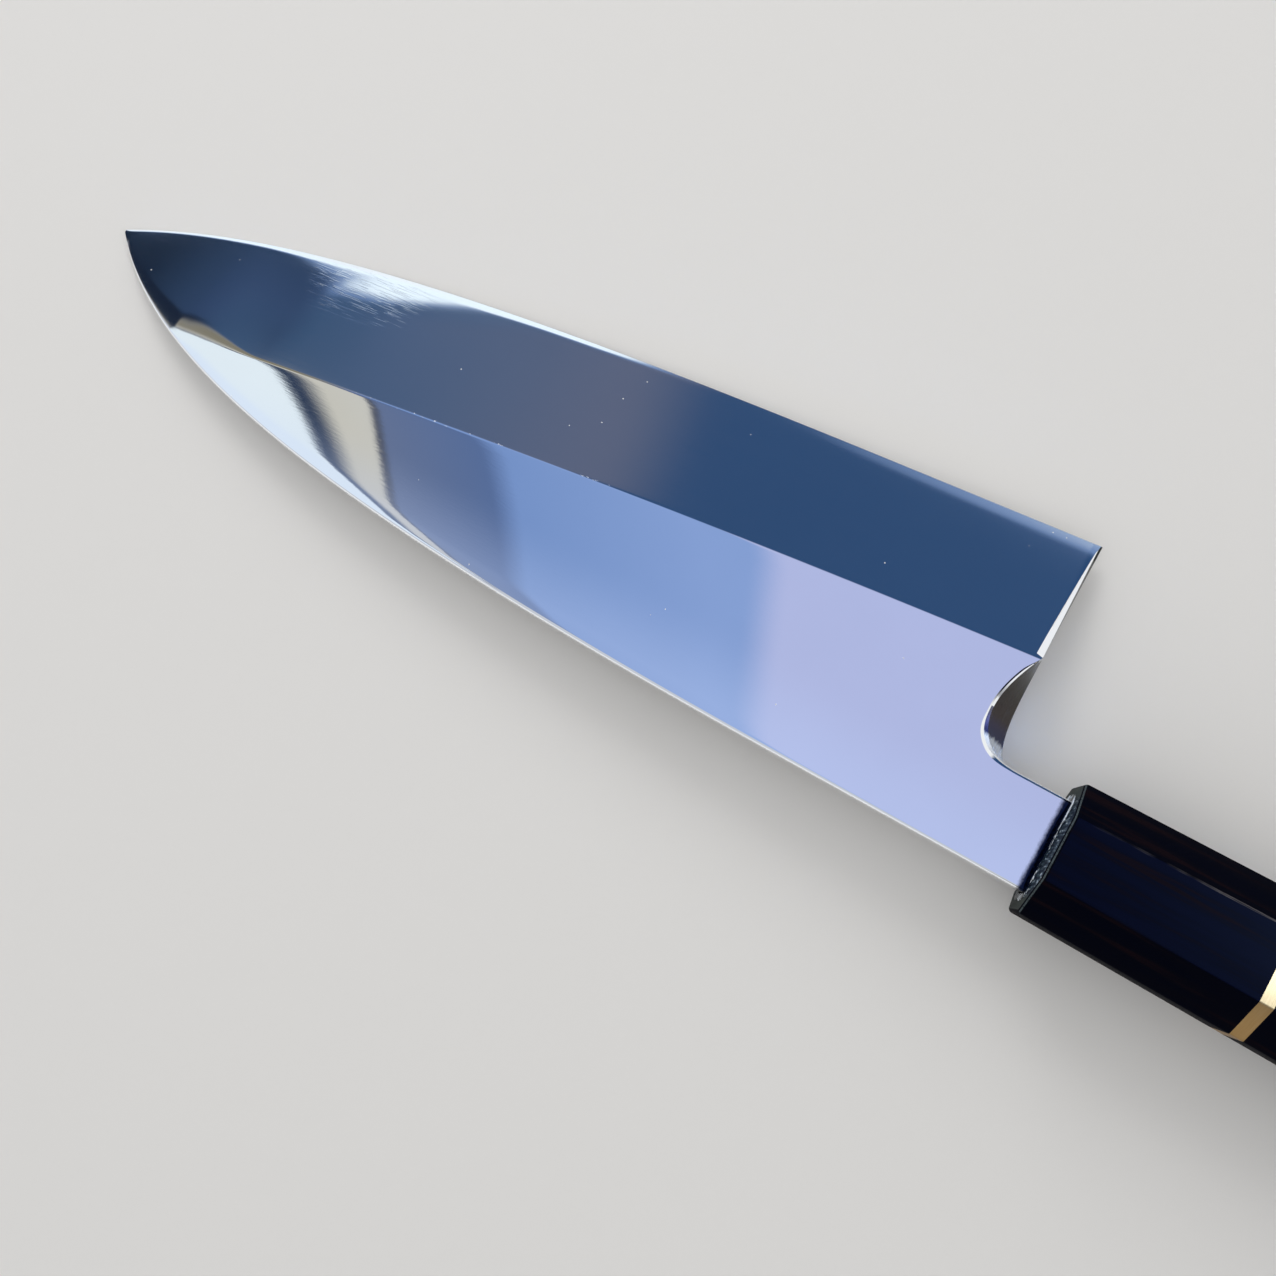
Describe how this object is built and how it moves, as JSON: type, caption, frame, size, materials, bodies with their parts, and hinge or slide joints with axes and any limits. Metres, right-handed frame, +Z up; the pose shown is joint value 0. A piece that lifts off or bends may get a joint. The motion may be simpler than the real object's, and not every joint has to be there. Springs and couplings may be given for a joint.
{
  "type": "deba knife",
  "caption": "Deba kitchen knife: polished single-bevel blade on a hidden tang in an octagonal dark wood handle with a brass ring.",
  "frame": {"origin": "on the table, under the middle of the knife's bounding box as it lies face up", "axes": "+X from the tip to the butt, +Y towards the cutting edge, +Z up off the table"},
  "size_m": [0.3314, 0.0606, 0.026],
  "materials": {
    "polished_steel": "mirror-polished steel with fine scratches",
    "ferrule_wood": "oiled near-black hardwood",
    "brass": "satin brass",
    "handle_wood": "oiled near-black hardwood",
    "dowel_wood": "plain pale hardwood",
    "bedding_glue": "cured adhesive",
    "seal_glue": "glossy cured adhesive with pale specks"
  },
  "bodies": {
    "root": {"blade": "polished_steel", "ferrule": "ferrule_wood", "brass_ring": "brass", "handle_body": "handle_wood", "core_dowel": "dowel_wood", "tang_bedding": "bedding_glue", "tang_seal": "seal_glue"}
  },
  "joints": []
}
